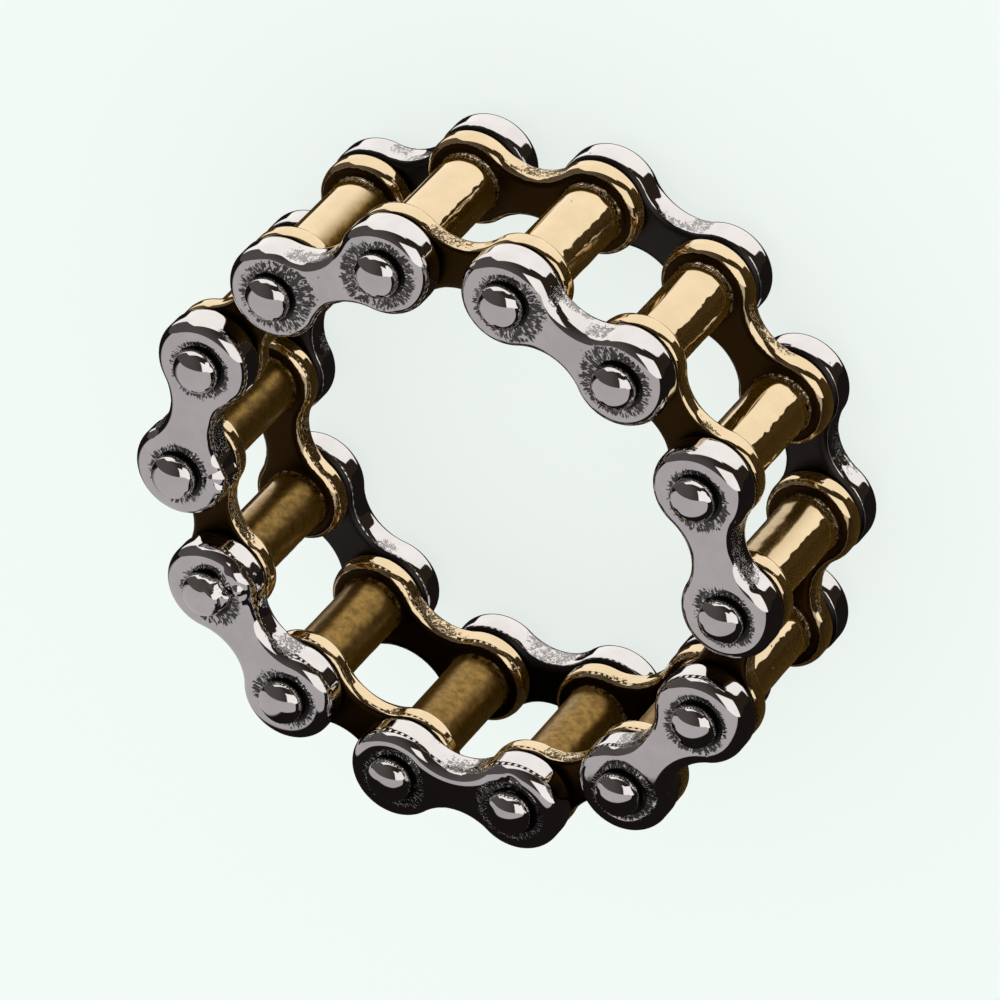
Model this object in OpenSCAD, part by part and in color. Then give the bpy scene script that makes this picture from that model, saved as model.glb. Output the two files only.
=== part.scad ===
// Finger ring made as a closed roller chain: silver outer links, gold inner links, domed rivets.
// The ring lies on its side. +Z runs along the finger, and the lower rivet heads stand on Z = 0.

/* [Chain] */
// Outer links round the ring, with as many inner links between them
link_count = 7; // [5:1:9]
// Distance between the two rivets of one link
pitch = 5.229; // [4.7:0.001:5.8]

/* [Outer links] */
// Radius of an outer plate's round ends
outer_end_r = 1.95; // [1.7:0.01:2.1]
// Width of an outer plate at its waist
outer_waist_w = 2; // [1.4:0.01:2.6]
// Thickness of an outer plate
outer_t = 1.48; // [1.1:0.01:1.8]
// Rounding of the edge that faces away from the ring's middle
outer_round_r = 0.55; // [0.3:0.01:0.7]
// Rounding of the edge that faces the inner links
outer_seam_r = 0.32; // [0.1:0.01:0.4]

/* [Inner links] */
// Radius of an inner plate's round ends
inner_end_r = 1.9; // [1.7:0.01:2.1]
// Width of an inner plate at its waist
inner_waist_w = 1.9; // [1.4:0.01:2.5]
// Thickness of an inner plate
inner_t = 0.97; // [0.7:0.01:1.2]
// Rounding of the edge that faces the outer links
inner_seam_r = 0.28; // [0.1:0.01:0.4]
// Rounding of the edge that faces the rollers
inner_round_r = 0.4; // [0.15:0.01:0.5]
// Radius of a roller
roller_r = 1.28; // [1.1:0.01:1.5]
// Free length of a roller, between the two inner plates
roller_length = 4.88; // [3.5:0.01:6]

/* [Rivets] */
// Radius of a rivet's shaft
rivet_r = 0.75; // [0.5:0.01:0.85]
// Radius of a rivet's domed head
head_r = 0.95; // [0.92:0.01:1.2]
// Full height of a head
head_h = 0.74; // [0.64:0.01:0.9]
// Height of a head's straight rim, under its rounding
head_rim = 0.18; // [0.02:0.01:0.2]
// Rounding between a head's rim and its dome
head_round_r = 0.36; // [0.1:0.01:0.4]

/* [Fits] */
// Gap all round a rivet's shaft in its bores
bore_gap = 0.05; // [0.02:0.01:0.08]
// Gap between an outer and an inner plate
plate_gap = 0.05; // [0.02:0.01:0.1]
// Gap between a head and the outer plate under it
head_gap = 0.03; // [0.02:0.01:0.1]

/* [Hidden] */
// Smoothness of the round surfaces
$fn = 72;
// How far a cutter runs past what it cuts
past = 1;

step_angle = 180 / link_count;
rivet_circle_r = pitch / (2 * sin(step_angle / 2));
link_circle_r = rivet_circle_r * cos(step_angle / 2);

bore_r = rivet_r + bore_gap;
inner_outside_z = roller_length / 2 + inner_t;
outer_inside_z = inner_outside_z + plate_gap;
head_seat_z = outer_inside_z + outer_t + head_gap;
top_z = head_seat_z + head_h;

// The middle of the chain's width lies at this height, because the lower heads stand on the ground
mid_z = top_z;

// The dome runs smoothly into the rounding, whose middle stands over the rim's top
dome_h = head_h - head_rim;
head_flat_r = head_r - head_round_r;
dome_r = (pow(head_flat_r, 2) + pow(dome_h, 2) - pow(head_round_r, 2)) / (2 * (dome_h - head_round_r));
dome_slope = asin(head_flat_r / (dome_r - head_round_r));

silver = "#a59da0";
gold = "#c8a05a";

function numbered(name, count) = [for (k = [1:count]) str(name, "_", k)];

// Radius of the hollow of a plate's waist, which runs smoothly into both round ends
function waist_r(end_r, waist_w) =
    (pow(pitch / 2, 2) + pow(waist_w / 2, 2) - end_r * end_r) / (2 * end_r - waist_w);

// Section that rounding takes off a square corner at the origin
module corner(r) {
    difference() {
        translate([-r, -r]) square(r + past);
        translate([-r, -r]) circle(r);
    }
}

// Half section of a plate's round end, with its inside face at the bottom
module end_section(end_r, t, inside_r, outside_r) {
    difference() {
        square([end_r, t]);
        translate([end_r, t]) corner(outside_r);
        translate([end_r, 0]) mirror([0, 1]) corner(inside_r);
    }
}

// Half section of what the hollow of the waist leaves out, flared to round the plate's edges
module hollow_section(hollow_r, t, inside_r, outside_r) {
    translate([0, -past]) square([hollow_r, t + 2 * past]);
    difference() {
        translate([0, t - outside_r]) square([hollow_r + outside_r, outside_r + past]);
        translate([hollow_r + outside_r, t - outside_r]) circle(outside_r);
    }
    difference() {
        translate([0, -past]) square([hollow_r + inside_r, inside_r + past]);
        translate([hollow_r + inside_r, inside_r]) circle(inside_r);
    }
}

// Puts its children at both rivets of a link
module at_rivets() {
    for (side = [-1, 1])
        translate([side * pitch / 2, 0, 0]) children();
}

// Round bores for both rivets, cut through a height h on either side of Z = 0
module rivet_bores(h) {
    at_rivets() translate([0, 0, -h]) cylinder(h = 2 * h, r = bore_r);
}

// Waist of a plate between its two rivets, lying along X with its inside face on Z = 0
module waist(end_r, waist_w, t, inside_r, outside_r) {
    hollow_r = waist_r(end_r, waist_w);
    hollow_y = waist_w / 2 + hollow_r;
    difference() {
        linear_extrude(t)
            polygon([[-pitch / 2, 0], [0, -hollow_y], [pitch / 2, 0], [0, hollow_y]]);
        for (side = [-1, 1])
            translate([0, side * hollow_y, 0])
                rotate_extrude() hollow_section(hollow_r, t, inside_r, outside_r);
    }
}

// Outer plate lying along X with its inside face on Z = 0
module outer_plate() {
    color(silver) difference() {
        union() {
            at_rivets() rotate_extrude()
                end_section(outer_end_r, outer_t, outer_seam_r, outer_round_r);
            waist(outer_end_r, outer_waist_w, outer_t, outer_seam_r, outer_round_r);
        }
        rivet_bores(outer_t + past);
    }
}

// Half section of an inner link at a rivet: the round end of either plate and the roller
module spool_section() {
    for (side = [0, 1])
        mirror([0, side]) translate([0, inner_outside_z - inner_t])
            end_section(inner_end_r, inner_t, inner_round_r, inner_seam_r);
    translate([0, -inner_outside_z]) square([roller_r, 2 * inner_outside_z]);
}

// Inner link lying along X with its middle at the origin: two plates and two rollers in one casting
module inner_link() {
    color(gold) difference() {
        union() {
            at_rivets() rotate_extrude() spool_section();
            for (side = [0, 1])
                mirror([0, 0, side]) translate([0, 0, inner_outside_z - inner_t])
                    waist(inner_end_r, inner_waist_w, inner_t, inner_round_r, inner_seam_r);
        }
        rivet_bores(inner_outside_z + past);
    }
}

// Half section of a domed head that stands on its seat at the origin
module head_section() {
    square([head_r, head_rim]);
    intersection() {
        translate([head_flat_r, head_rim]) circle(head_round_r);
        translate([head_flat_r, head_rim]) square(head_round_r);
    }
    intersection() {
        translate([0, head_h - dome_r]) circle(dome_r);
        polygon([
            [0, 0],
            [head_flat_r, 0],
            [head_flat_r, head_rim],
            [head_flat_r + past * sin(dome_slope), head_rim + past * cos(dome_slope)],
            [0, head_h + past]
        ]);
    }
}

// Rivet with a domed head at either end and its middle at the origin
module rivet() {
    color(silver) rotate_extrude() {
        translate([0, -head_seat_z]) square([rivet_r, 2 * head_seat_z]);
        translate([0, head_seat_z]) head_section();
        mirror([0, 1]) translate([0, head_seat_z]) head_section();
    }
}

// Puts a link that lies along X in its place on the ring, at an angle from +X
module on_ring(angle) {
    rotate([0, 0, angle - 90]) translate([0, link_circle_r, mid_z]) children();
}

module outer_plate_front(k) {
    on_ring(90 + (k - 1) * 2 * step_angle) translate([0, 0, outer_inside_z]) outer_plate();
}

module outer_plate_back(k) {
    on_ring(90 + (k - 1) * 2 * step_angle)
        mirror([0, 0, 1]) translate([0, 0, outer_inside_z]) outer_plate();
}

module inner_link_at(k) {
    on_ring(90 + (2 * k - 1) * step_angle) inner_link();
}

module rivet_at(k) {
    rotate([0, 0, 90 + (k - 1.5) * step_angle]) translate([rivet_circle_r, 0, mid_z]) rivet();
}

for (k = [1:link_count]) {
    outer_plate_front(k);
    outer_plate_back(k);
    inner_link_at(k);
}
for (k = [1:2 * link_count]) {
    rivet_at(k);
}
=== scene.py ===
"""Looks of the chain link ring: worn, polished metal with chiselled rings round its rivets, in soft light."""
from math import atan2, cos, pi, radians, sin

import bpy
import numpy as np
from mathutils import Matrix, Vector


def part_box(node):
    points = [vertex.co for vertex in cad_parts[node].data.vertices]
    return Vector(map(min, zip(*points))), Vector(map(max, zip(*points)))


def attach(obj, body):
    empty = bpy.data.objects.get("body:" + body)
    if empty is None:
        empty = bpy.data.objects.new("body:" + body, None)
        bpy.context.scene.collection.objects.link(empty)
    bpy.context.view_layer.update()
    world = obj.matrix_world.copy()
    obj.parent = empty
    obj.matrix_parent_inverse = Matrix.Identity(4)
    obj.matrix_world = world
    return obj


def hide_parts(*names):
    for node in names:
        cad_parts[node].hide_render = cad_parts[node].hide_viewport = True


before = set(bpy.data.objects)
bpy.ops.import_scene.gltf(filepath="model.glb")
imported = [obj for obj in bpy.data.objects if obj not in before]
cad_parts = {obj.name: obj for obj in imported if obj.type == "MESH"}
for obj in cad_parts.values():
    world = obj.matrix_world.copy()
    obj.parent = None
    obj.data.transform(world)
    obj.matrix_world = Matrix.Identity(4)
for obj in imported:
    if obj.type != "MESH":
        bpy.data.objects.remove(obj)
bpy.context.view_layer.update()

# Sizes are in millimetres, and MM turns them into metres. The main ones are read from the frame. The others
# repeat finer sizes of the solids.
MM = 0.001
LINKS = 7
STEP = pi / LINKS
FIRST_ANGLE = pi / 2


def size_box(node):
    """Lowest and highest corner of a node of the frame, in millimetres."""
    low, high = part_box(node)
    return np.array(low) / MM, np.array(high) / MM


plate_low, plate_high = size_box("outer_plate_front_1")
link_low, link_high = size_box("inner_link_4")
rivet_low, rivet_high = size_box("rivet_1")

# Outer plates, with the distance between the two rivets of each
PLATE_END_R = (plate_high[1] - plate_low[1]) / 2
PITCH = plate_high[0] - plate_low[0] - 2 * PLATE_END_R
PLATE_T = plate_high[2] - plate_low[2]
PLATE_WAIST = 2.0
PLATE_ROUND = 0.55
PLATE_SEAM = 0.32

# Inner links, with the two plates and two rollers of each
LINK_END_R = (link_high[0] - link_low[0] - PITCH) / 2
LINK_HALF = (link_high[2] - link_low[2]) / 2
LINK_T = 0.97
LINK_WAIST = 1.9
LINK_ROUND = 0.4
LINK_SEAM = 0.28
ROLLER_R = 1.28
ROLLER_ROOT = 0.12

# Rivets, with the bores that they pass through
HEAD_R = (rivet_high[0] - rivet_low[0]) / 2
RIVET_HALF = (rivet_high[2] - rivet_low[2]) / 2
RIVET_R = 0.75
HEAD_H = 0.74
HEAD_RIM = 0.18
HEAD_ROUND = 0.36
BORE_R = 0.8

# The ring, whose lower heads stand on the ground
MID_Z = RIVET_HALF
RIVET_CIRCLE_R = PITCH / (2 * sin(STEP / 2))
LINK_CIRCLE_R = RIVET_CIRCLE_R * cos(STEP / 2)

# How finely a ring of points round a rivet is divided: along the middle line, one hollow and the round end
MIDDLE = 14
HOLLOW = 20
END = 96
RING = MIDDLE + 2 * HOLLOW + END
EVERY = np.arange(RING)
OPEN = np.append(np.arange(MIDDLE, RING), 0)
ON_PLANE = 1e-9

# How many rows of points each stretch of a form gets
TOP_ROUND_ROWS = 12
WALL_ROWS = 6
BOTTOM_ROUND_ROWS = 4
PLATE_OUTSIDE_ROWS = 19
PLATE_INSIDE_ROWS = 4
PLATE_BORE_ROWS = 3
LINK_OUTSIDE_ROWS = 10
LINK_INSIDE_ROWS = 7
LINK_BORE_ROWS = 4
ROOT_ROWS = 4
ROLLER_ROWS = 16
POINTS_AROUND_RIVET = 80
DOME_ROWS = 14
HEAD_ROUND_ROWS = 9
RIM_ROWS = 2
SHAFT_ROWS = 2

# Sides, across the ring's faces: where the chisel bit deepest and the rollers have worn least, and where the
# heads have the broadest rings of strokes
DEEP_SIDE = Vector((-0.64, -0.77, 0))
BROAD_SIDE = Vector((0.93, -0.37, 0))
BROAD_FADE = (0.5, 0.95)

# The photographed ring stood upright, and this direction in the ring's plane pointed up.
UP_TURN = radians(-39.55)
PHOTO_UP = Vector((cos(UP_TURN), sin(UP_TURN), 0))


def spread(start, end, steps):
    """Values from start to end in so many equal steps, without the first."""
    return np.linspace(start, end, steps + 1)[1:]


def outline(end_r, waist_w, inset):
    """A ring of points round the rivet at (PITCH / 2, 0), along the plate's outline set in by a distance."""
    half = waist_w / 2
    hollow_r = ((PITCH / 2) ** 2 + half**2 - end_r**2) / (2 * end_r - waist_w)
    hollow_y = half + hollow_r
    join = atan2(hollow_y, PITCH / 2)
    down = np.linspace(half - inset, inset - half, MIDDLE, endpoint=False)
    middle = np.stack([np.zeros(MIDDLE), down], 1)
    turn = np.linspace(pi / 2, join, HOLLOW, endpoint=False)
    hollow = (hollow_r + inset) * np.stack([np.cos(turn), np.sin(turn)], 1) - [0, hollow_y]
    turn = np.linspace(join - pi, pi - join, END, endpoint=False)
    end = (end_r - inset) * np.stack([np.cos(turn), np.sin(turn)], 1) + [PITCH / 2, 0]
    turn = np.linspace(join, pi / 2, HOLLOW, endpoint=False)
    back = (hollow_r + inset) * np.stack([np.cos(turn), -np.sin(turn)], 1) + [0, hollow_y]
    return np.vstack([middle, hollow, end, back])


def circle_inside(ring, r):
    """A round ring about the rivet, with its points in the same directions as another ring's."""
    away = ring - [PITCH / 2, 0]
    return away / np.linalg.norm(away, axis=1)[:, None] * r + [PITCH / 2, 0]


def at_height(ring, z):
    """A flat ring of points lifted to a height."""
    return np.column_stack([ring, np.full(len(ring), z)])


def loft(rows, joined=False):
    """Points and quads through rows of rings. An open row leaves out the points of the middle line."""
    points, indices, count = [], [], 0
    for ring, is_open in rows:
        used = OPEN if is_open else EVERY
        index = np.full(RING, -1)
        index[used] = count + np.arange(len(used))
        points.append(ring[used])
        indices.append(index)
        count += len(used)
    if joined:
        indices.append(indices[0])
    quads = [np.stack([a, b, np.roll(b, -1), np.roll(a, -1)], 1) for a, b in zip(indices, indices[1:])]
    quads = np.vstack(quads)
    return np.vstack(points), quads[(quads >= 0).all(1)]


def mirrored(points, faces, axis):
    """A half form joined to its mirror image across the plane where one axis is zero."""
    apart = np.abs(points[:, axis]) > ON_PLANE
    image = points[apart].copy()
    image[:, axis] *= -1
    index = np.arange(len(points))
    index[apart] = len(points) + np.arange(len(image))
    return np.vstack([points, image]), np.vstack([faces, index[faces][:, ::-1]])


def face_rows(start, end, z, shares):
    """Rows across a flat face, at shares of the way from one ring to another."""
    return [(at_height(start + (end - start) * share, z), False) for share in shares]


def edge_rows(end_r, waist_w, top, bottom, top_round, bottom_round):
    """Open rows down a plate's edge, from the rounding of its top edge to just above its bottom face."""
    rows = []
    for a in spread(0, pi / 2, TOP_ROUND_ROWS):
        ring = outline(end_r, waist_w, top_round * (1 - sin(a)))
        rows.append((at_height(ring, top - top_round * (1 - cos(a))), True))
    wall = outline(end_r, waist_w, 0)
    for z in spread(top - top_round, bottom + bottom_round, WALL_ROWS):
        rows.append((at_height(wall, z), True))
    for a in spread(0, pi / 2, BOTTOM_ROUND_ROWS)[:-1]:
        ring = outline(end_r, waist_w, bottom_round * (1 - cos(a)))
        rows.append((at_height(ring, bottom + bottom_round * (1 - sin(a))), True))
    return rows


def plate_form():
    """Outer plate along X, its inside face on z = 0 and its outside face up."""
    top = outline(PLATE_END_R, PLATE_WAIST, PLATE_ROUND)
    bottom = outline(PLATE_END_R, PLATE_WAIST, PLATE_SEAM)
    bore = circle_inside(top, BORE_R)
    rows = face_rows(bore, top, PLATE_T, np.linspace(0, 1, PLATE_OUTSIDE_ROWS))
    rows += edge_rows(PLATE_END_R, PLATE_WAIST, PLATE_T, 0, PLATE_ROUND, PLATE_SEAM)
    rows += face_rows(bore, bottom, 0, np.linspace(1, 0, PLATE_INSIDE_ROWS))
    rows += [(at_height(bore, z), False) for z in spread(0, PLATE_T, PLATE_BORE_ROWS)[:-1]]
    return mirrored(*loft(rows, joined=True), axis=0)


def link_form():
    """Inner link along X with its middle at the origin: two plates and two rollers."""
    inside_z = LINK_HALF - LINK_T
    top = outline(LINK_END_R, LINK_WAIST, LINK_SEAM)
    inside = outline(LINK_END_R, LINK_WAIST, LINK_ROUND)
    bore = circle_inside(inside, BORE_R)
    root = circle_inside(inside, ROLLER_R + ROLLER_ROOT)
    roller = circle_inside(inside, ROLLER_R)
    rows = [(at_height(bore, z), False) for z in np.linspace(0, LINK_HALF, LINK_BORE_ROWS)[:-1]]
    rows += face_rows(bore, top, LINK_HALF, np.linspace(0, 1, LINK_OUTSIDE_ROWS))
    rows += edge_rows(LINK_END_R, LINK_WAIST, LINK_HALF, inside_z, LINK_SEAM, LINK_ROUND)
    rows += face_rows(inside, root, inside_z, np.linspace(0, 1, LINK_INSIDE_ROWS))
    for a in spread(0, pi / 2, ROOT_ROWS):
        ring = circle_inside(inside, ROLLER_R + ROLLER_ROOT * (1 - sin(a)))
        rows.append((at_height(ring, inside_z - ROLLER_ROOT * (1 - cos(a))), False))
    rows += [(at_height(roller, z), False) for z in spread(inside_z - ROLLER_ROOT, 0, ROLLER_ROWS)]
    return mirrored(*mirrored(*loft(rows), axis=2), axis=0)


def rivet_profile():
    """Radius and height of each row of points down half a rivet, from its dome to its middle."""
    dome_h = HEAD_H - HEAD_RIM
    flat_r = HEAD_R - HEAD_ROUND
    dome_r = (flat_r**2 + dome_h**2 - HEAD_ROUND**2) / (2 * (dome_h - HEAD_ROUND))
    slope = np.arcsin(flat_r / (dome_r - HEAD_ROUND))
    seat = RIVET_HALF - HEAD_H
    rim = seat + HEAD_RIM
    dome = [(dome_r * sin(a), RIVET_HALF - dome_r * (1 - cos(a))) for a in spread(0, slope, DOME_ROWS)]
    rounding = [(flat_r + HEAD_ROUND * sin(a), rim + HEAD_ROUND * cos(a))
                for a in spread(slope, pi / 2, HEAD_ROUND_ROWS)]
    wall = [(HEAD_R, z) for z in spread(rim, seat, RIM_ROWS)]
    shaft = [(RIVET_R, seat)] + [(RIVET_R, z) for z in spread(seat, 0, SHAFT_ROWS)]
    return dome + rounding + wall + shaft


def rivet_form():
    """Rivet with its middle at the origin: a shaft with a domed head at either end."""
    profile = rivet_profile()
    around = POINTS_AROUND_RIVET
    turn = np.linspace(0, 2 * pi, around, endpoint=False)
    rings = [np.stack([r * np.cos(turn), r * np.sin(turn), np.full(around, z)], 1) for r, z in profile]
    points = np.vstack([[[0, 0, RIVET_HALF]], *rings])
    first = 1 + np.arange(around)
    fan = np.stack([np.zeros(around, int), first, np.roll(first, -1), np.roll(first, -1)], 1)
    quads = []
    for k in range(len(profile) - 1):
        a = first + k * around
        b = a + around
        quads.append(np.stack([a, b, np.roll(b, -1), np.roll(a, -1)], 1))
    return mirrored(points, np.vstack([fan, *quads]), axis=2)


def outward(points, faces):
    """The faces turned so that they look outward, by the sign of the volume that they enclose."""
    a, b, c, d = (points[faces[:, k]] for k in range(4))
    volume = np.einsum("ij,ij->", a, np.cross(b, c)) + np.einsum("ij,ij->", a, np.cross(c, d))
    return points, faces if volume > 0 else faces[:, ::-1]


def normals_of(points, faces):
    """Unit normal at each point, from the faces round it."""
    a, b, c, d = (points[faces[:, k]] for k in range(4))
    face_normals = np.cross(c - a, d - b)
    normals = np.zeros_like(points)
    for k in range(4):
        np.add.at(normals, faces[:, k], face_normals)
    return normals / np.linalg.norm(normals, axis=1)[:, None]


def finished(form):
    """A form with its faces turned outward and a normal at each point."""
    points, faces = outward(*form)
    return points, faces, normals_of(points, faces)


# Numbers that scramble a cell of the noise's lattice: factors for its place and its seed, rounds of a shift
# and a factor, and one more shift
PLACE_FACTORS = np.array([73856093, 19349663, 83492791])
SEED_FACTOR = 2654435761
SCRAMBLES = ((13, 1274126177), (15, 1103515245))
LAST_SHIFT = 11
LARGEST = 0x7FFFFFFF


def hashed(cells, seed):
    """A value from 0 to 1 for each cell of a lattice, the same in each run."""
    mixed = cells.astype(np.int64) @ PLACE_FACTORS + seed * SEED_FACTOR
    for shift, factor in SCRAMBLES:
        mixed = (mixed ^ (mixed >> shift)) * factor & LARGEST
    return (mixed ^ (mixed >> LAST_SHIFT)) / LARGEST


def eased(share):
    """A share from 0 to 1 that starts and ends gently."""
    return share * share * (3 - 2 * share)


def noise(points, size, seed):
    """Smooth noise from -1 to 1, with bumps about a size across."""
    scaled = points / size
    cell = np.floor(scaled)
    part = eased(scaled - cell)
    total = np.zeros(len(points))
    for corner in np.ndindex(2, 2, 2):
        weight = np.prod(np.where(corner, part, 1 - part), axis=1)
        total += weight * hashed(cell + corner, seed)
    return 2 * total - 1


def ramp(value, low, high):
    """Smooth step from 0 at low to 1 at high."""
    return eased(np.clip((value - low) / (high - low), 0, 1))


def rivet_polar(points):
    """Distance and direction of each point from the nearer rivet of its link, and which of the two it is."""
    side = np.where(points[:, 0] < 0, -1.0, 1.0)
    away = points[:, :2] - np.column_stack([side * PITCH / 2, np.zeros(len(points))])
    distance = np.maximum(np.linalg.norm(away, axis=1), ON_PLANE)
    return distance, away / distance[:, None], side


# Strokes of the chisel: units of their noise in a radian round a head, the length of one, and how far apart
# in the noise the two heads of a link lie
STROKES_ROUND = 15.0
STROKE_LENGTH = 0.22
STROKES_APART = 40

# Slow drift of the strokes' reach: units of its noise in a radian, and how far apart in it the two heads lie
DRIFT_ROUND = 1.3
DRIFT_APART = 9

# How far past a head the strokes reach: all round it, more towards the link's middle and on the deep side.
# The columns are the reach itself, what the drift adds and what the broad side adds.
REACH_ROUND = (0.30, 0.08, 0.20)
REACH_INWARD = (0.18, 0.10, 0.40)
REACH_DEEP = (0.06, 0.00, 0.10)

# How far past a head the strokes lie densest, with what the deep side and the drift add to it
CORE_REACH = 0.05
CORE_DEEP = 0.09
CORE_DRIFT = 0.04

# Shares of the dense and the outer strokes in the cover, how each fades, and how flat a face has to lie
CORE_SHARE = 0.44
CORE_FADE = (-0.05, 0.07)
OUTER_SHARE = 0.56
OUTER_FADE = (-0.10, 0.16)
FLAT_FADE = (0.85, 0.97)


def stroke_space(points):
    """Coordinates in which noise runs in short strokes away from the nearer rivet."""
    distance, direction, side = rivet_polar(points)
    return np.column_stack([direction * STROKES_ROUND, distance / STROKE_LENGTH + STROKES_APART * side])


def reach_part(columns, drift, broad):
    """One part of the strokes' reach, with what the drift and the broad side add to it."""
    plain, drifting, broadened = columns
    return plain + drifting * drift + broadened * broad


def chisel(points, normals, seed, deep_side, broad):
    """How thickly strokes of the chisel cover each point round the heads of an outside face, from 0 to 1."""
    distance, direction, side = rivet_polar(points)
    drift = noise(np.column_stack([direction * DRIFT_ROUND, DRIFT_APART * side]), 1, seed)
    inward = np.maximum(-direction[:, 0] * side, 0)
    deep = direction @ deep_side[:2]
    reach = reach_part(REACH_ROUND, drift, broad)
    reach += reach_part(REACH_INWARD, drift, broad) * inward
    reach += reach_part(REACH_DEEP, drift, broad) * deep
    core = CORE_REACH + CORE_DEEP * deep + CORE_DRIFT * drift
    outer_share = OUTER_SHARE * ramp(HEAD_R + reach - distance, *OUTER_FADE)
    core_share = CORE_SHARE * ramp(HEAD_R + core - distance, *CORE_FADE)
    return (outer_share + core_share) * ramp(normals[:, 2], *FLAT_FADE)


# Seeds of a piece's noises, counted from its own seed
PATCH_SEED = 3
WAVE_SEED = 5
PIT_SEED = 6
SATIN_SEED = 7
ROUGH_SEED = 8

# Height and size of the waves of hand polish, long and short
LONG_WAVES = (0.004, 1.7)
SHORT_WAVES = (0.0006, 0.5)

# How deep the chisel works, and between which covers of strokes that depth is reached
CHISEL_DEPTH = 0.04
CHISEL_DEEPENS = (0.1, 0.9)

# Cast pits: their depth and size, and the size and the edges of the patches that they come in
PIT_DEPTH = 0.012
PIT_SIZE = 0.2
PATCH_SIZE = 1.1
PATCH_FADE = (-0.6, 0.4)

# The side wall of a plate's waist: how far its normals may tilt, and how far it runs from the middle
WALL_TILT = 0.8
WALL_TILT_FADE = 0.3
WALL_REACH = 1.7
WALL_REACH_FADE = 0.5

# How squarely a surface has to face before painted shade darkens it, where plates face each other:
# towards an outer plate's inside, along the finger either way on an inner link, and outward at that link's
# seams
PLATE_PAINTED_SHADE = (0.35, 0.65)
LINK_PAINTED_SHADE = (0.86, 0.96)
SEAM_PAINTED_SHADE = (0.6, 0.9)

# Rollers, and the roots where they meet their plates: how far past its edges each counts, and how it fades
ROLLER_END_FADE = 0.02
ROLLER_MARGIN = 0.3
ROOT_HEIGHT = 0.3
ROOT_HEIGHT_FADE = 0.15
ROOT_MARGIN = 0.35
MARGIN_FADE = 0.1
ROOT_PITS = 0.7
# Painted shade in the crease where a roller meets its plate
ROOT_PAINTED_SHADE = 0.45

# The rollers' satin side, which faces the finger and has a darker tint of painted shade, and the side
# that is still rough, each with the height and size of its waves. Where the ring has worn least, the
# finger's side is rough too and has less satin.
FINGER_SIDE = (-0.5, 0.15)
SATIN_WAVES = (0.004, 0.3)
ROUGH_SIDE = (0.1, 0.6)
ROUGH_WAVES = (0.008, 0.25)
ROUGH_PITS = 0.25
UNWORN_FADE = (0.6, 0.95)
SATIN_LOSS = 0.45

# Rivets: the waves on them, how far their surface is set in, and crumbs and painted shade at the feet of
# their heads
HEAD_WAVES = (0.004, 0.9)
HEAD_INSET = 0.01
RIM_TILT = 0.82
RIM_TILT_FADE = 0.2
CRUMB_SIDE = (0, 0.3)
CRUMB_DEPTH = 0.014
CRUMB_SIZE = 0.15
CRUMB_PITS = 0.4
FOOT_DROP = 0.04
FOOT_FADE = 0.05


def side_wall(points, normals):
    """How much each point lies on the side wall of a plate's waist, from 0 to 1."""
    upright = ramp(WALL_TILT - np.abs(normals[:, 2]), 0, WALL_TILT_FADE)
    return upright * ramp(WALL_REACH - np.abs(points[:, 0]), 0, WALL_REACH_FADE)


def hand_polish(points, seed):
    """Slow waves that polishing by hand leaves in a surface."""
    long_height, long_size = LONG_WAVES
    short_height, short_size = SHORT_WAVES
    return long_height * noise(points, long_size, seed) + short_height * noise(points, short_size, seed + 1)


def pit_patches(points, seed):
    """Patches that cast pits come in, from 0 to 1."""
    return ramp(noise(points, PATCH_SIZE, seed + PATCH_SEED), *PATCH_FADE)


def pit_depths(points, pits, seed):
    """How deep the cast pits are at each point."""
    return PIT_DEPTH * pits * (1 + noise(points, PIT_SIZE, seed + PIT_SEED))


def plate_relief(points, normals, seed, sides):
    """Relief of an outer plate along its normals, traces of its making and painted shade between plates."""
    strokes = chisel(points, normals, seed, **sides)
    pits = side_wall(points, normals) * pit_patches(points, seed)
    shift = hand_polish(points, seed + WAVE_SEED) - CHISEL_DEPTH * ramp(strokes, *CHISEL_DEEPENS)
    shift -= pit_depths(points, pits, seed)
    # Painted shade on the plate's inside face, which looks towards the gold link
    painted_shade = ramp(-normals[:, 2], *PLATE_PAINTED_SHADE)
    return {"shift": shift, "chisel": strokes, "pits": pits, "satin_and_shade": 0 * pits, "painted_shade": painted_shade}


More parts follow.
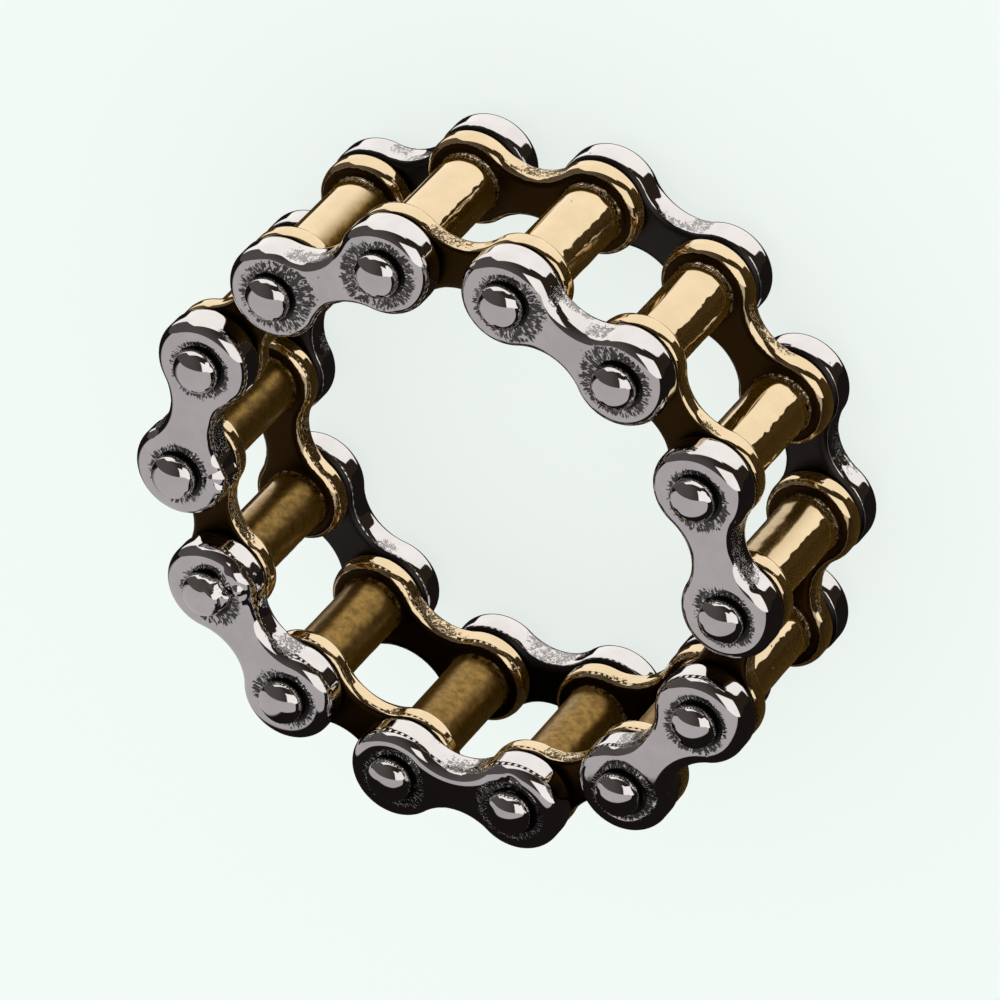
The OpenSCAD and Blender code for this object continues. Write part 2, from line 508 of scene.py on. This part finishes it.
def link_relief(points, normals, seed, sides):
    """Relief of an inner link along its normals, traces of its making and painted shade between parts."""
    deep_side = sides["deep_side"]
    distance = rivet_polar(points)[0]
    between = LINK_HALF - LINK_T - np.abs(points[:, 2])
    roller = ramp(between, -ROLLER_END_FADE, ROLLER_END_FADE)
    roller *= ramp(ROLLER_R + ROLLER_MARGIN - distance, 0, MARGIN_FADE)
    root = ramp(ROOT_HEIGHT - np.abs(between - ROLLER_ROOT), 0, ROOT_HEIGHT_FADE)
    root *= ramp(ROLLER_R + ROOT_MARGIN - distance, 0, MARGIN_FADE)

    finger_side = roller * ramp(-normals[:, 1], *FINGER_SIDE)
    rough_side = roller * ramp(normals @ deep_side, *ROUGH_SIDE)
    unworn = ramp(deep_side[1], *UNWORN_FADE)
    rough_side = np.maximum(rough_side, unworn * finger_side)
    finger_side *= 1 - SATIN_LOSS * unworn

    wall = side_wall(points, normals) * (1 - roller)
    pits = wall * pit_patches(points, seed) + ROOT_PITS * root + ROUGH_PITS * rough_side
    pits = np.clip(pits, 0, 1)
    # Painted shade on the faces between the plates, on the seams and at the roots of the rollers
    seam = ramp(normals[:, 2] * np.sign(points[:, 2]), *SEAM_PAINTED_SHADE)
    painted_shade = np.maximum(ramp(np.abs(normals[:, 2]), *LINK_PAINTED_SHADE), seam) * (1 - roller) + ROOT_PAINTED_SHADE * root

    satin_height, satin_size = SATIN_WAVES
    rough_height, rough_size = ROUGH_WAVES
    shift = hand_polish(points, seed + WAVE_SEED) - pit_depths(points, pits, seed)
    shift += (satin_height * finger_side * noise(points, satin_size, seed + SATIN_SEED)
              + rough_height * rough_side * noise(points, rough_size, seed + ROUGH_SEED))
    return {"shift": shift, "chisel": 0 * pits, "pits": pits, "satin_and_shade": finger_side, "painted_shade": painted_shade}


def rivet_relief(points, normals, seed, sides):
    """Relief of a rivet along its normals, traces of its making and painted shade at its heads' feet."""
    rim = ramp(RIM_TILT - np.abs(normals[:, 2]), 0, RIM_TILT_FADE)
    crumbs = rim * ramp(normals @ sides["deep_side"], *CRUMB_SIDE)
    wave_height, wave_size = HEAD_WAVES
    shift = wave_height * noise(points, wave_size, seed) - HEAD_INSET
    shift -= CRUMB_DEPTH * crumbs * (1 + noise(points, CRUMB_SIZE, seed + 1))
    # Painted shade at the foot of each head, where it meets its plate
    foot = RIVET_HALF - HEAD_H + HEAD_RIM - FOOT_DROP
    painted_shade = ramp(foot - np.abs(points[:, 2]), 0, FOOT_FADE)
    return {"shift": shift, "chisel": 0 * rim, "pits": CRUMB_PITS * crumbs, "satin_and_shade": 0 * rim, "painted_shade": painted_shade}


# Dents and lumps of hand work on the front, placed from a rivet by what is right and above in the photograph
HAND_WORK = (
    # rivet, right, above, size, height
    (1, 1.10, 0.45, 1.00, 0.23),
    (4, -0.05, 1.15, 0.55, -0.10),
    (14, 1.75, -0.10, 0.65, 0.15),
    (5, 1.35, 0.15, 0.50, -0.04),
)
HAND_WORK_SEED = 900

# Their crumpling: its size, its least and its range, and how they fade outward and down the plates' sides
CRUMPLE_SIZE = 0.42
CRUMPLE_LEAST = 0.5
CRUMPLE_RANGE = 1.4
OUTWARD_FADE = 0.8
DOWNWARD_FADE = 0.3


def rivet_angle(number):
    """Direction from the ring's middle to a rivet. The first outer link lies between the first two."""
    return FIRST_ANGLE + (number - 1.5) * STEP


def hand_work(points):
    """Height of the dents and lumps of hand work at points of the front, given in the ring's frame."""
    shift = np.zeros(len(points))
    right = np.array([PHOTO_UP.y, -PHOTO_UP.x])
    up = np.array(PHOTO_UP[:2])
    for number, across, above, size, height in HAND_WORK:
        angle = rivet_angle(number)
        centre = RIVET_CIRCLE_R * np.array([cos(angle), sin(angle)]) + across * right + above * up
        apart = np.linalg.norm(points[:, :2] - centre, axis=1)
        crumple = np.abs(noise(points, CRUMPLE_SIZE, HAND_WORK_SEED + number))
        crumple = CRUMPLE_LEAST + CRUMPLE_RANGE * crumple
        shift += height * crumple * ramp(size - apart, 0, OUTWARD_FADE * size)
    return shift * ramp(points[:, 2], plate_low[2], plate_low[2] + DOWNWARD_FADE)


def store(mesh, label, kind, field, values):
    """Keeps a value for each point of a mesh, under a name that its material reads."""
    data = mesh.attributes.new(label, kind, "POINT").data
    data.foreach_set(field, values.astype(np.float32).ravel())


def make_piece(name, node, form, relief, place, seed, material):
    """A dense mesh with relief that stands for one node of the frame."""
    points, faces, normals = form
    turned = place.to_3x3()
    direction = Vector((*place.translation.xy, 0)).normalized()
    sides = {
        "deep_side": np.array(turned.transposed() @ DEEP_SIDE),
        "broad": ramp(direction @ BROAD_SIDE, *BROAD_FADE),
    }
    # The traces of making, with the painted shade, are kept on the mesh for its material
    traces_and_shade = relief(points, normals, seed, sides)
    placed = points @ np.array(turned).T + np.array(place.translation) / MM
    shift = traces_and_shade.pop("shift") + hand_work(placed)
    moved = (points + normals * shift[:, None]) * MM
    corners = [list(dict.fromkeys(face)) for face in faces.tolist()]

    mesh = bpy.data.meshes.new(name)
    mesh.from_pydata(moved.tolist(), [], corners)
    mesh.transform(place)
    mesh.shade_smooth()
    for label, values in traces_and_shade.items():
        store(mesh, label, "FLOAT", "value", values)
    store(mesh, "strokes", "FLOAT_VECTOR", "vector", stroke_space(points) + seed)
    mesh.materials.append(material)
    piece = bpy.data.objects.new(name, mesh)
    bpy.context.scene.collection.objects.link(piece)
    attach(piece, "root")
    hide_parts(node)


class Nodes:
    """Short names for the nodes of one material or world."""

    def __init__(self, tree):
        self.tree = tree

    def add(self, kind, output=0, inputs=(), **settings):
        """A new node with its settings, its inputs set or linked in order, and one of its outputs."""
        node = self.tree.nodes.new(kind)
        for key, value in settings.items():
            setattr(node, key, value)
        for socket, value in zip(node.inputs, inputs):
            self.put(socket, value)
        return node.outputs[output]

    def put(self, socket, value):
        """Sets an input, or links it where the value is another node's output."""
        if isinstance(value, bpy.types.NodeSocket):
            self.tree.links.new(value, socket)
        elif value is not None:
            socket.default_value = value

    def math(self, operation, a, b=None):
        """Result of one step of arithmetic."""
        return self.add("ShaderNodeMath", inputs=(a, b), operation=operation)

    def smooth(self, value, low, high, start=0.0, end=1.0):
        """Smooth step of a value from start at low to end at high."""
        inputs = (value, low, high, start, end)
        return self.add("ShaderNodeMapRange", inputs=inputs, interpolation_type="SMOOTHSTEP")

    def noise(self, where, scale, detail, roughness, distortion):
        """Noise from 0 to 1."""
        node = self.tree.nodes.new("ShaderNodeTexNoise")
        for label, value in (("Vector", where), ("Scale", scale), ("Detail", detail),
                             ("Roughness", roughness), ("Distortion", distortion)):
            self.put(node.inputs[label], value)
        return node.outputs["Fac"]

    def mix(self, share, a, b):
        """Colour between two others."""
        node = self.tree.nodes.new("ShaderNodeMix")
        node.data_type = "RGBA"
        colours = [socket for socket in node.inputs if socket.type == "RGBA"]
        self.put(node.inputs[0], share)
        self.put(colours[0], a)
        self.put(colours[1], b)
        return next(socket for socket in node.outputs if socket.type == "RGBA")

    def along(self, direction, axis):
        """How far a direction runs along an axis."""
        return self.add("ShaderNodeVectorMath", "Value", (direction, axis), operation="DOT_PRODUCT")


def opaque(colour, share=1.0):
    """A colour, or a darker share of it, with its alpha."""
    return (*[share * channel for channel in colour], 1)


# Noises of the finish and of the painted shade's ragged edge, each with its bumps in a metre, detail,
# roughness and distortion. That of the strokes counts in units of their own space.
STROKE_NOISE = (1.0, 1.0, 0.5, 0.6)
PIT_NOISE = (6500.0, 2.0, 0.6, 1.2)
PAINTED_SHADE_NOISE = (4000.0, 4.0, 0.7, 0.0)
SPECK_NOISE = (4200.0, 1.0, 0.5, 0.0)
MOTTLE_NOISE = (3200.0, 4.0, 0.65, 0.0)
CLOUD_NOISE = (900.0, 3.0, 0.6, 0.0)
HAZE_NOISE = (700.0, 3.0, 0.5, 0.0)
GRAIN_NOISE = (5000.0, 3.0, 0.5, 0.0)

# Strokes show where their noise, raised by a share of the piece's trace, passes a threshold. They start with
# the trace, and they are darkest where it is thick.
STROKES_RAISE = 0.50
STROKES_SHOW = (0.66, 0.78)
STROKES_START = (0.02, 0.1)
STROKES_THICKEN = (0.4, 0.9)
STROKES_DARKEN = (0.88, 1.0)

# Pits, painted shade and specks show in the same way.
PITS_RAISE = 0.5
PITS_SHOW = (0.95, 1.01)
PITS_START = (0.05, 0.3)
PAINTED_SHADE_RAGGED = 0.6
PAINTED_SHADE_SHOWS = (0.72, 0.82)
SPECKS_SHOW = (0.79, 0.83)
SPECK_DARKNESS = 0.5

# Clouds in the bare metal and mottling in the satin, each with its thresholds and how it shades the colour
CLOUDS_SHOW = (0.3, 0.7)
CLOUD_SHADE = 0.92
MOTTLE_SHOWS = (0.3, 0.7)
MOTTLE_SHADE = 0.45

# Roughness: what haze, satin and dark traces with painted shade add to the polish
HAZE_SHOWS = (0.35, 0.75)
HAZE_ROUGHNESS = 0.04
SATIN_ROUGHNESS = 0.28
TRACE_ROUGHNESS = 0.35

# Bump: grain, which is strongest in the satin, and the dark traces and painted shade as hollows
GRAIN_LEAST = 0.15
GRAIN_HEIGHT = 0.2
BUMP_STRENGTH = 0.6
BUMP_DISTANCE = 0.03

# Warm sheen of the gold
SHEEN_ROUGHNESS = 0.8
SHEEN_TINT = (1.0, 0.48, 0.04)


def dark_strokes(nodes, strokes, trace):
    """Where the chisel's strokes show, and how dark they are."""
    raised = nodes.math("MULTIPLY", trace, STROKES_RAISE)
    cover = nodes.math("ADD", nodes.noise(strokes, *STROKE_NOISE), raised)
    marks = nodes.math("MULTIPLY", nodes.smooth(cover, *STROKES_SHOW), nodes.smooth(trace, *STROKES_START))
    return nodes.math("MULTIPLY", marks, nodes.smooth(trace, *STROKES_THICKEN, *STROKES_DARKEN))


def dark_pits(nodes, place, trace, darkness):
    """Where cast pits show, and how dark they are."""
    raised = nodes.math("MULTIPLY", trace, PITS_RAISE)
    cover = nodes.math("ADD", nodes.noise(place, *PIT_NOISE), raised)
    start = nodes.smooth(trace, *PITS_START, 0.0, darkness)
    return nodes.math("MULTIPLY", nodes.smooth(cover, *PITS_SHOW), start)


def painted_shade_cover(nodes, place, trace):
    """Where painted shade lies, with ragged edges."""
    ragged = nodes.math("MULTIPLY", nodes.noise(place, *PAINTED_SHADE_NOISE), PAINTED_SHADE_RAGGED)
    return nodes.smooth(nodes.math("ADD", trace, ragged), *PAINTED_SHADE_SHOWS)


def metal(name, bright, oxide_and_shade, satin_tint_and_shade, polish, pit_darkness, glow=0.0):
    """Polished metal with dark chisel strokes, cast pits, satin and painted shade as a piece's traces say."""
    material = bpy.data.materials.new(name)
    material.use_nodes = True
    nodes = Nodes(material.node_tree)
    shader = material.node_tree.nodes["Principled BSDF"]
    shader.inputs["Metallic"].default_value = 1.0
    chisel_trace, pits, satin_and_shade, painted_shade = (nodes.add("ShaderNodeAttribute", "Fac", attribute_name=label)
                                       for label in ("chisel", "pits", "satin_and_shade", "painted_shade"))
    strokes = nodes.add("ShaderNodeAttribute", "Vector", attribute_name="strokes")
    place = nodes.add("ShaderNodeTexCoord", "Object")

    marks = dark_strokes(nodes, strokes, chisel_trace)
    pitted = dark_pits(nodes, place, pits, pit_darkness)
    # Painted shade between the parts, at the rollers' roots and at the heads' feet
    shaded = painted_shade_cover(nodes, place, painted_shade)
    specks = nodes.smooth(nodes.noise(place, *SPECK_NOISE), *SPECKS_SHOW, 0.0, SPECK_DARKNESS)
    # Dark traces of making and the painted shade all take the same dark colour
    traces_and_shade = nodes.math("MAXIMUM", nodes.math("MAXIMUM", marks, pitted), shaded)
    traces_and_shade = nodes.math("MAXIMUM", traces_and_shade, specks)

    # The satin is a rougher, grainier finish, and its darker tint on the rollers' finger side is painted
    # shade
    mottle = nodes.smooth(nodes.noise(place, *MOTTLE_NOISE), *MOTTLE_SHOWS)
    satin_colour_and_shade = nodes.mix(mottle, opaque(satin_tint_and_shade, MOTTLE_SHADE), opaque(satin_tint_and_shade))
    cloudy = nodes.smooth(nodes.noise(place, *CLOUD_NOISE), *CLOUDS_SHOW)
    bare_colour = nodes.mix(cloudy, opaque(bright, CLOUD_SHADE), opaque(bright))
    colour = nodes.mix(satin_and_shade, bare_colour, satin_colour_and_shade)
    nodes.put(shader.inputs["Base Color"], nodes.mix(traces_and_shade, colour, opaque(oxide_and_shade)))

    haze = nodes.smooth(nodes.noise(place, *HAZE_NOISE), *HAZE_SHOWS, polish, polish + HAZE_ROUGHNESS)
    roughness = nodes.math("ADD", haze, nodes.math("MULTIPLY", satin_and_shade, SATIN_ROUGHNESS))
    roughness = nodes.math("ADD", roughness, nodes.math("MULTIPLY", traces_and_shade, TRACE_ROUGHNESS))
    nodes.put(shader.inputs["Roughness"], roughness)

    grain = nodes.noise(place, *GRAIN_NOISE)
    grain = nodes.math("MULTIPLY", grain, nodes.math("ADD", satin_and_shade, GRAIN_LEAST))
    height = nodes.math("SUBTRACT", nodes.math("MULTIPLY", grain, GRAIN_HEIGHT), traces_and_shade)
    bump = material.node_tree.nodes.new("ShaderNodeBump")
    bump.inputs["Strength"].default_value = BUMP_STRENGTH
    bump.inputs["Distance"].default_value = BUMP_DISTANCE * MM
    nodes.put(bump.inputs["Height"], height)
    nodes.put(shader.inputs["Normal"], bump.outputs["Normal"])

    if glow:
        # No sheen where the painted shade lies
        unshaded = nodes.math("SUBTRACT", 1.0, shaded)
        nodes.put(shader.inputs["Sheen Weight"], nodes.math("MULTIPLY", unshaded, glow))
        shader.inputs["Sheen Roughness"].default_value = SHEEN_ROUGHNESS
        shader.inputs["Sheen Tint"].default_value = opaque(SHEEN_TINT)
    return material


def on_ring(angle, z, turned=False):
    """Where a link that lies along X goes on the ring, turned over on the back."""
    place = Matrix.Rotation(angle - pi / 2, 4, "Z") @ Matrix.Translation(Vector((0, LINK_CIRCLE_R, z)) * MM)
    return place @ Matrix.Rotation(pi, 4, "Y") if turned else place


# Each oxide colour darkens the traces of making and paints shade between parts; the gold's satin tint is
# partly painted shade
silver = metal("polished_silver", bright=(0.64, 0.62, 0.62), oxide_and_shade=(0.03, 0.027, 0.026),
               satin_tint_and_shade=(0.62, 0.60, 0.60), polish=0.03, pit_darkness=0.6)
gold = metal("polished_gold", bright=(0.685, 0.55, 0.36), oxide_and_shade=(0.03, 0.015, 0.003),
             satin_tint_and_shade=(0.275, 0.168, 0.048), polish=0.03, pit_darkness=0.9, glow=0.09)

plate = finished(plate_form())
link = finished(link_form())
rivet = finished(rivet_form())

# Seeds of the first piece of each kind, and the step from one to the next
FRONT_SEED = 100
BACK_SEED = 200
LINK_SEED = 300
RIVET_SEED = 400
SEED_STEP = 10

for k in range(LINKS):
    number = k + 1
    outer_angle = FIRST_ANGLE + 2 * k * STEP
    front = on_ring(outer_angle, plate_low[2])
    back = on_ring(outer_angle, 2 * MID_Z - plate_low[2], turned=True)
    middle = on_ring(outer_angle + STEP, MID_Z)
    make_piece(f"front_plate_{number}", f"outer_plate_front_{number}", plate, plate_relief, front,
               FRONT_SEED + SEED_STEP * k, silver)
    make_piece(f"back_plate_{number}", f"outer_plate_back_{number}", plate, plate_relief, back,
               BACK_SEED + SEED_STEP * k, silver)
    make_piece(f"gold_link_{number}", f"inner_link_{number}", link, link_relief, middle,
               LINK_SEED + SEED_STEP * k, gold)

to_circle = Matrix.Translation(Vector((RIVET_CIRCLE_R, 0, MID_Z)) * MM)
for k in range(2 * LINKS):
    number = k + 1
    place = Matrix.Rotation(rivet_angle(number), 4, "Z") @ to_circle
    make_piece(f"silver_rivet_{number}", f"rivet_{number}", rivet, rivet_relief, place,
               RIVET_SEED + SEED_STEP * k, silver)


# The camera stands where the photograph was taken from, rolled as the photograph was.
AIM = Vector((0.699, -3.694, MID_Z + 5.105)) * MM
CAMERA_TURN = radians(15.398)
CAMERA_LIFT = radians(48.314)
CAMERA_ROLL = radians(-136.785)
CAMERA_RANGE = 352.93 * MM
SENSOR = 36.0
LENS = 335.408
NEAREST = 10 * MM
FARTHEST = 10000 * MM

# From the ring to the camera, and the level directions to the front and the right as the camera saw the
# upright ring, by which its reflections are set out
CAMERA_LEVEL = cos(CAMERA_LIFT)
CAMERA_BACK = Vector((sin(CAMERA_TURN) * CAMERA_LEVEL, -cos(CAMERA_TURN) * CAMERA_LEVEL, sin(CAMERA_LIFT)))
PHOTO_FRONT = (CAMERA_BACK - PHOTO_UP * CAMERA_BACK.dot(PHOTO_UP)).normalized()
PHOTO_RIGHT = PHOTO_UP.cross(PHOTO_FRONT)


def make_camera():
    """Long lens at the photograph's viewing angle."""
    data = bpy.data.cameras.new("camera")
    data.sensor_width = SENSOR
    data.lens = LENS
    data.clip_start = NEAREST
    data.clip_end = FARTHEST
    camera = bpy.data.objects.new("camera", data)
    bpy.context.scene.collection.objects.link(camera)
    spot = Matrix.Translation(AIM + CAMERA_BACK * CAMERA_RANGE)
    facing = (-CAMERA_BACK).to_track_quat("-Z", "Y").to_matrix().to_4x4()
    camera.matrix_world = spot @ facing @ Matrix.Rotation(CAMERA_ROLL, 4, "Z")
    bpy.context.scene.camera = camera


def square(name, half, side=1):
    """A flat square about its own origin. With side at -1, its corners run the other way round."""
    low, high = -half * side, half * side
    mesh = bpy.data.meshes.new(name)
    mesh.from_pydata([(-half, low, 0), (half, low, 0), (half, high, 0), (-half, high, 0)], [], [(0, 1, 2, 3)])
    thing = bpy.data.objects.new(name, mesh)
    bpy.context.scene.collection.objects.link(thing)
    return thing


# Floor, with half the length of its sides
FLOOR_HALF = 2000 * MM
FLOOR_COLOUR = (0.19, 0.20, 0.195)
FLOOR_LIGHT = (0.71, 0.76, 0.735)
FLOOR_ROUGHNESS = 0.9
FLOOR_SPECULAR = 0.1


def make_floor():
    """Plain pale floor."""
    floor = square("floor", FLOOR_HALF)
    material = bpy.data.materials.new("pale_floor")
    material.use_nodes = True
    shader = material.node_tree.nodes["Principled BSDF"]
    shader.inputs["Base Color"].default_value = opaque(FLOOR_COLOUR)
    shader.inputs["Emission Color"].default_value = opaque(FLOOR_LIGHT)
    shader.inputs["Emission Strength"].default_value = 1.0
    shader.inputs["Roughness"].default_value = FLOOR_ROUGHNESS
    shader.inputs["Specular IOR Level"].default_value = FLOOR_SPECULAR
    floor.data.materials.append(material)
    floor.visible_glossy = floor.visible_shadow = False


# Soft boxes round the ring, in degrees to the right of the camera and above level. The corners are tangents
# of angles from a box's middle.
SOFT_BOXES = (
    # turn, lift, low corner, high corner
    (26, 16, (-0.70, -0.55), (0.70, 0.50)),
    (175, 21, (-1.45, -0.38), (1.05, 2.4)),
    (0, 90, (-1.05, -0.20), (0.50, 0.93)),
)

# How softly a box's edges fade, and how far forward a direction has to point before it can meet the box
BOX_EDGE = 0.03
BOX_AHEAD = (0.02, 0.05)
LEAST_DEPTH = 0.01

# Light of the boxes, of the studio round them, which grows towards the left, and of the room with the floor
BOX_LIGHT = (1.36, 1.33, 1.28)
DARK_STUDIO = (0.030, 0.022, 0.015)
LIT_STUDIO = (0.11, 0.10, 0.095)
STUDIO_GROWS = (-0.3, 1.0)
LEFT = -90
PALE_ROOM = (1.0, 1.03, 1.02)


def from_camera(turn, lift):
    """Direction at an angle to the right of the camera and an angle above level, in degrees."""
    turn, lift = radians(turn), radians(lift)
    level = PHOTO_RIGHT * sin(turn) + PHOTO_FRONT * cos(turn)
    return level * cos(lift) + PHOTO_UP * sin(lift)


def soft_box(nodes, direction, turn, lift, low, high):
    """Share of a soft box in what is seen in a direction."""
    facing = from_camera(turn, lift)
    up = from_camera(turn, lift + 90)
    across = up.cross(facing)
    depth = nodes.along(direction, facing)
    share = nodes.smooth(depth, *BOX_AHEAD)
    depth = nodes.math("MAXIMUM", depth, LEAST_DEPTH)
    for axis, start, end in ((across, low[0], high[0]), (up, low[1], high[1])):
        tangent = nodes.math("DIVIDE", nodes.along(direction, axis), depth)
        for edge, inward in ((start, BOX_EDGE), (end, -BOX_EDGE)):
            share = nodes.math("MULTIPLY", share, nodes.smooth(tangent, edge - inward, edge + inward))
    return share


def make_world():
    """Pale room for the floor and the view, and a dark studio with soft boxes for what the metal mirrors."""
    world = bpy.data.worlds.new("studio")
    bpy.context.scene.world = world
    world.use_nodes = True
    world.cycles.sampling_method = "NONE"
    nodes = Nodes(world.node_tree)
    direction = nodes.add("ShaderNodeTexCoord", "Generated")
    leftward = nodes.along(direction, from_camera(LEFT, 0))
    studio = nodes.mix(nodes.smooth(leftward, *STUDIO_GROWS), opaque(DARK_STUDIO), opaque(LIT_STUDIO))
    for turn, lift, low, high in SOFT_BOXES:
        studio = nodes.mix(soft_box(nodes, direction, turn, lift, low, high), studio, opaque(BOX_LIGHT))
    mirrored_light = nodes.add("ShaderNodeBackground", inputs=(studio, 1.0))
    pale_light = nodes.add("ShaderNodeBackground", inputs=(opaque(PALE_ROOM), 1.0))
    glossy = nodes.add("ShaderNodeLightPath", "Is Glossy Ray")
    both = nodes.add("ShaderNodeMixShader", inputs=(glossy, pale_light, mirrored_light))
    nodes.put(world.node_tree.nodes["World Output"].inputs["Surface"], both)


# Grey card under the ring as it stood, with a shadow on it. A slanted edge of the shadow has three columns:
# how far it moves to the front for each millimetre to the right, where the light begins and where it is full.
# A straight edge has two: where the shadow begins and where it is full. They count in millimetres from the
# card's middle.
CARD_HALF = 1000 * MM
CARD_LIGHT = (0.60, 0.57, 0.58)
CARD_SHADOW = (0.012, 0.010, 0.009)
NEAR_EDGE = (0.2, 8.6, 9.4)
FAR_EDGE = (1.2, 13.8, 15.0)
LEFT_EDGE = (-12.2, -11.2)
BACK_EDGE = (-7.0, -17.0)


def past_edge(nodes, where, start, end):
    """Smooth step across a straight edge of the card's shadow."""
    return nodes.smooth(where, start * MM, end * MM)


def past_slant(nodes, right, front, slant, start, end):
    """Smooth step across a slanted edge of the card's shadow."""
    return past_edge(nodes, nodes.math("SUBTRACT", front, nodes.math("MULTIPLY", right, slant)), start, end)


def make_card():
    """Grey card with the ring's shadow on it. Only reflections show it."""
    card = square("table_card", CARD_HALF, side=-1)
    foot = Vector((0, 0, MID_Z)) * MM - PHOTO_UP * (RIVET_CIRCLE_R + PLATE_END_R) * MM
    axes = Matrix((PHOTO_RIGHT, PHOTO_FRONT, PHOTO_UP)).transposed().to_4x4()
    card.matrix_world = Matrix.Translation(foot) @ axes
    card.visible_camera = card.visible_diffuse = card.visible_shadow = False
    card.visible_transmission = card.visible_volume_scatter = False
    material = bpy.data.materials.new("table_card")
    material.use_nodes = True
    material.cycles.emission_sampling = "NONE"
    tree = material.node_tree
    tree.nodes.remove(tree.nodes["Principled BSDF"])
    nodes = Nodes(tree)
    place = nodes.add("ShaderNodeTexCoord", "Object")
    right = nodes.add("ShaderNodeSeparateXYZ", "X", (place,))
    front = nodes.add("ShaderNodeSeparateXYZ", "Y", (place,))
    near = past_slant(nodes, right, front, *NEAR_EDGE)
    far = past_slant(nodes, right, front, *FAR_EDGE)
    dim = nodes.math("SUBTRACT", 1.0, nodes.math("MULTIPLY", near, far))
    shadow = nodes.math("MULTIPLY", past_edge(nodes, right, *LEFT_EDGE), dim)
    shadow = nodes.math("MAXIMUM", shadow, past_edge(nodes, front, *BACK_EDGE))
    colour = nodes.mix(shadow, opaque(CARD_LIGHT), opaque(CARD_SHADOW))
    glow = nodes.add("ShaderNodeEmission", inputs=(colour, 1.0))
    nodes.put(tree.nodes["Material Output"].inputs["Surface"], glow)
    card.data.materials.append(material)


make_camera()
make_floor()
make_world()
make_card()
bpy.context.scene.view_settings.view_transform = "Standard"
